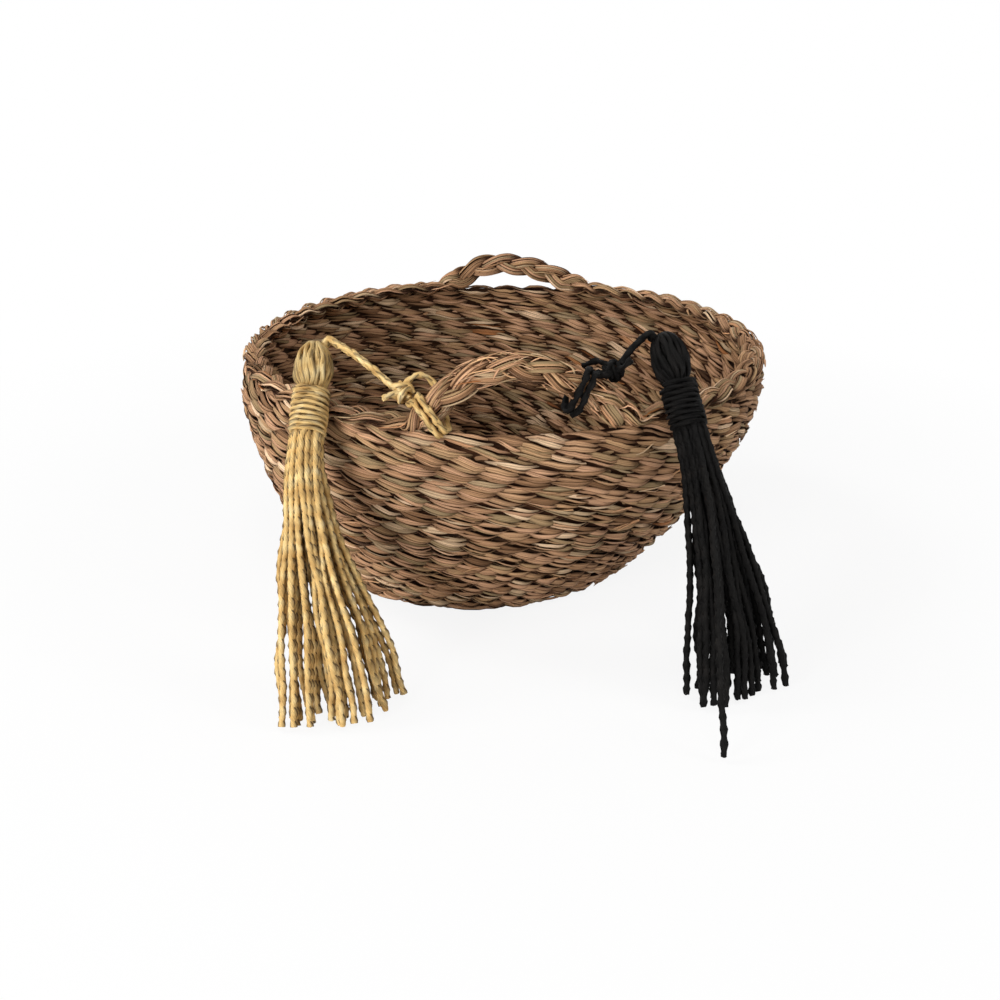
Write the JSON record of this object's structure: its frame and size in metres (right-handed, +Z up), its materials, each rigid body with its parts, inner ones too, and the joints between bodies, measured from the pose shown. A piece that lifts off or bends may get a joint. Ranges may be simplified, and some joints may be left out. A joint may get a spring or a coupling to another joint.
{
  "type": "seagrass planter basket",
  "caption": "Round belly basket of twined seagrass with a plaited rim, arched plaited handles and cord tassels tied over the rim.",
  "frame": {"origin": "middle of the flat underside of the base, on the surface the basket stands on", "axes": "+Z up, -Y towards the front handle between the tassels, +X to the right as seen from the front"},
  "size_m": [0.308, 0.4016, 0.1706],
  "materials": {
    "seagrass_weave": "dry twined seagrass, matt with a faint sheen",
    "seagrass_stake": "flat seagrass stake, matt",
    "seagrass_plait": "dry plaited seagrass blades, matt with a faint sheen",
    "yellow_cord": "twisted raffia cord, matt",
    "black_cord": "dyed twisted cord, matt"
  },
  "bodies": {
    "basket": {"base_weave_outside": "seagrass_weave", "base_weave_inside": "seagrass_weave", "wall_weave_outside": "seagrass_weave", "wall_weave_inside": "seagrass_weave", "stakes": "seagrass_stake", "rim_plait_left": "seagrass_plait", "rim_plait_right": "seagrass_plait", "front_handle": "seagrass_plait", "back_handle": "seagrass_plait", "yellow_tie_loop": "yellow_cord", "black_tie_loop": "black_cord"},
    "yellow_tie": {"yellow_tie_knot": "yellow_cord", "yellow_tie_cord": "yellow_cord"},
    "yellow_tassel": {"yellow_tassel_strands": "yellow_cord", "yellow_tassel_wrap": "yellow_cord"},
    "black_tie": {"black_tie_knot": "black_cord", "black_tie_cord": "black_cord"},
    "black_tassel": {"black_tassel_strands": "black_cord", "black_tassel_wrap": "black_cord"}
  },
  "joints": [
    {"name": "yellow_tie_lift", "type": "hinge", "parent": "basket", "child": "yellow_tie", "pos_m": [-0.03199, -0.13296, 0.143], "axis": [0.4417, 0.8972, 0], "range_deg": [0, 60]},
    {"name": "yellow_tassel_swing", "type": "hinge", "parent": "yellow_tie", "child": "yellow_tassel", "pos_m": [-0.07769, -0.11045, 0.15495], "axis": [-0.788, 0.6157, 0], "range_deg": [0, 60]},
    {"name": "black_tie_lift", "type": "hinge", "parent": "basket", "child": "black_tie", "pos_m": [0.07301, -0.12699, 0.152], "axis": [0.3613, -0.9324, 0], "range_deg": [0, 60]},
    {"name": "black_tassel_swing", "type": "hinge", "parent": "black_tie", "child": "black_tassel", "pos_m": [0.10055, -0.11632, 0.16143], "axis": [-0.829, -0.5592, 0], "range_deg": [0, 60]}
  ]
}
